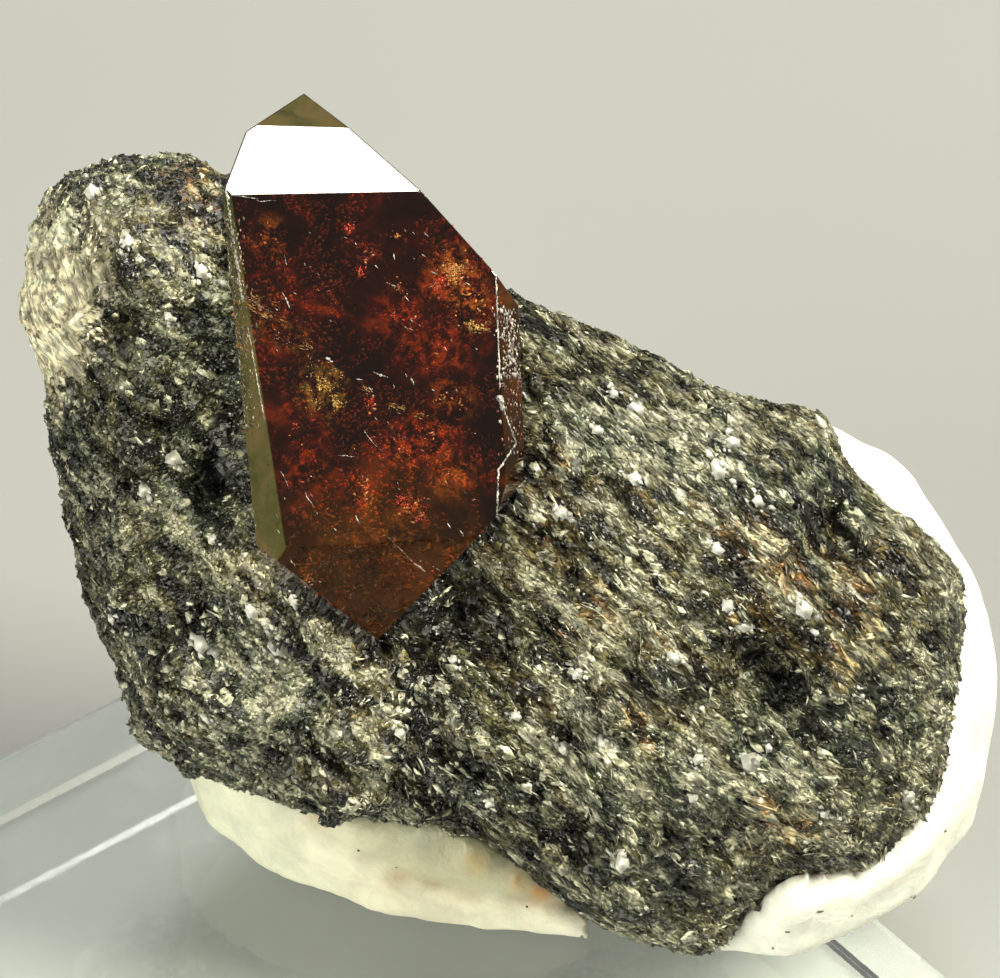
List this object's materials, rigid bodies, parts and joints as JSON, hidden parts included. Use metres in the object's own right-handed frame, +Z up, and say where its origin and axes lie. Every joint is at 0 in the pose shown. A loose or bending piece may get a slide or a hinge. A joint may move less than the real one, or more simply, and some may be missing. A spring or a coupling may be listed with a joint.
{
  "type": "biotite specimen with a zircon crystal",
  "caption": "Hand specimen of sparkling black biotite with a dark red, double-ended zircon crystal in its face, held by white putty on a clear acrylic display base.",
  "frame": {"origin": "on the underside of the clear base, below the middle of the whole box, 0.3 mm right of the centre of the base", "axes": "+Z up, -Y the way the display face of the rock and the crystal look, +X to the right as seen from there"},
  "size_m": [0.0448, 0.0442, 0.0334],
  "materials": {
    "biotite": "satin",
    "zircon": "gloss",
    "putty": "matte",
    "acrylic": "gloss"
  },
  "bodies": {
    "root": {"biotite_rock": "biotite", "zircon_crystal": "zircon", "putty": "putty", "acrylic_base": "acrylic"}
  },
  "joints": []
}
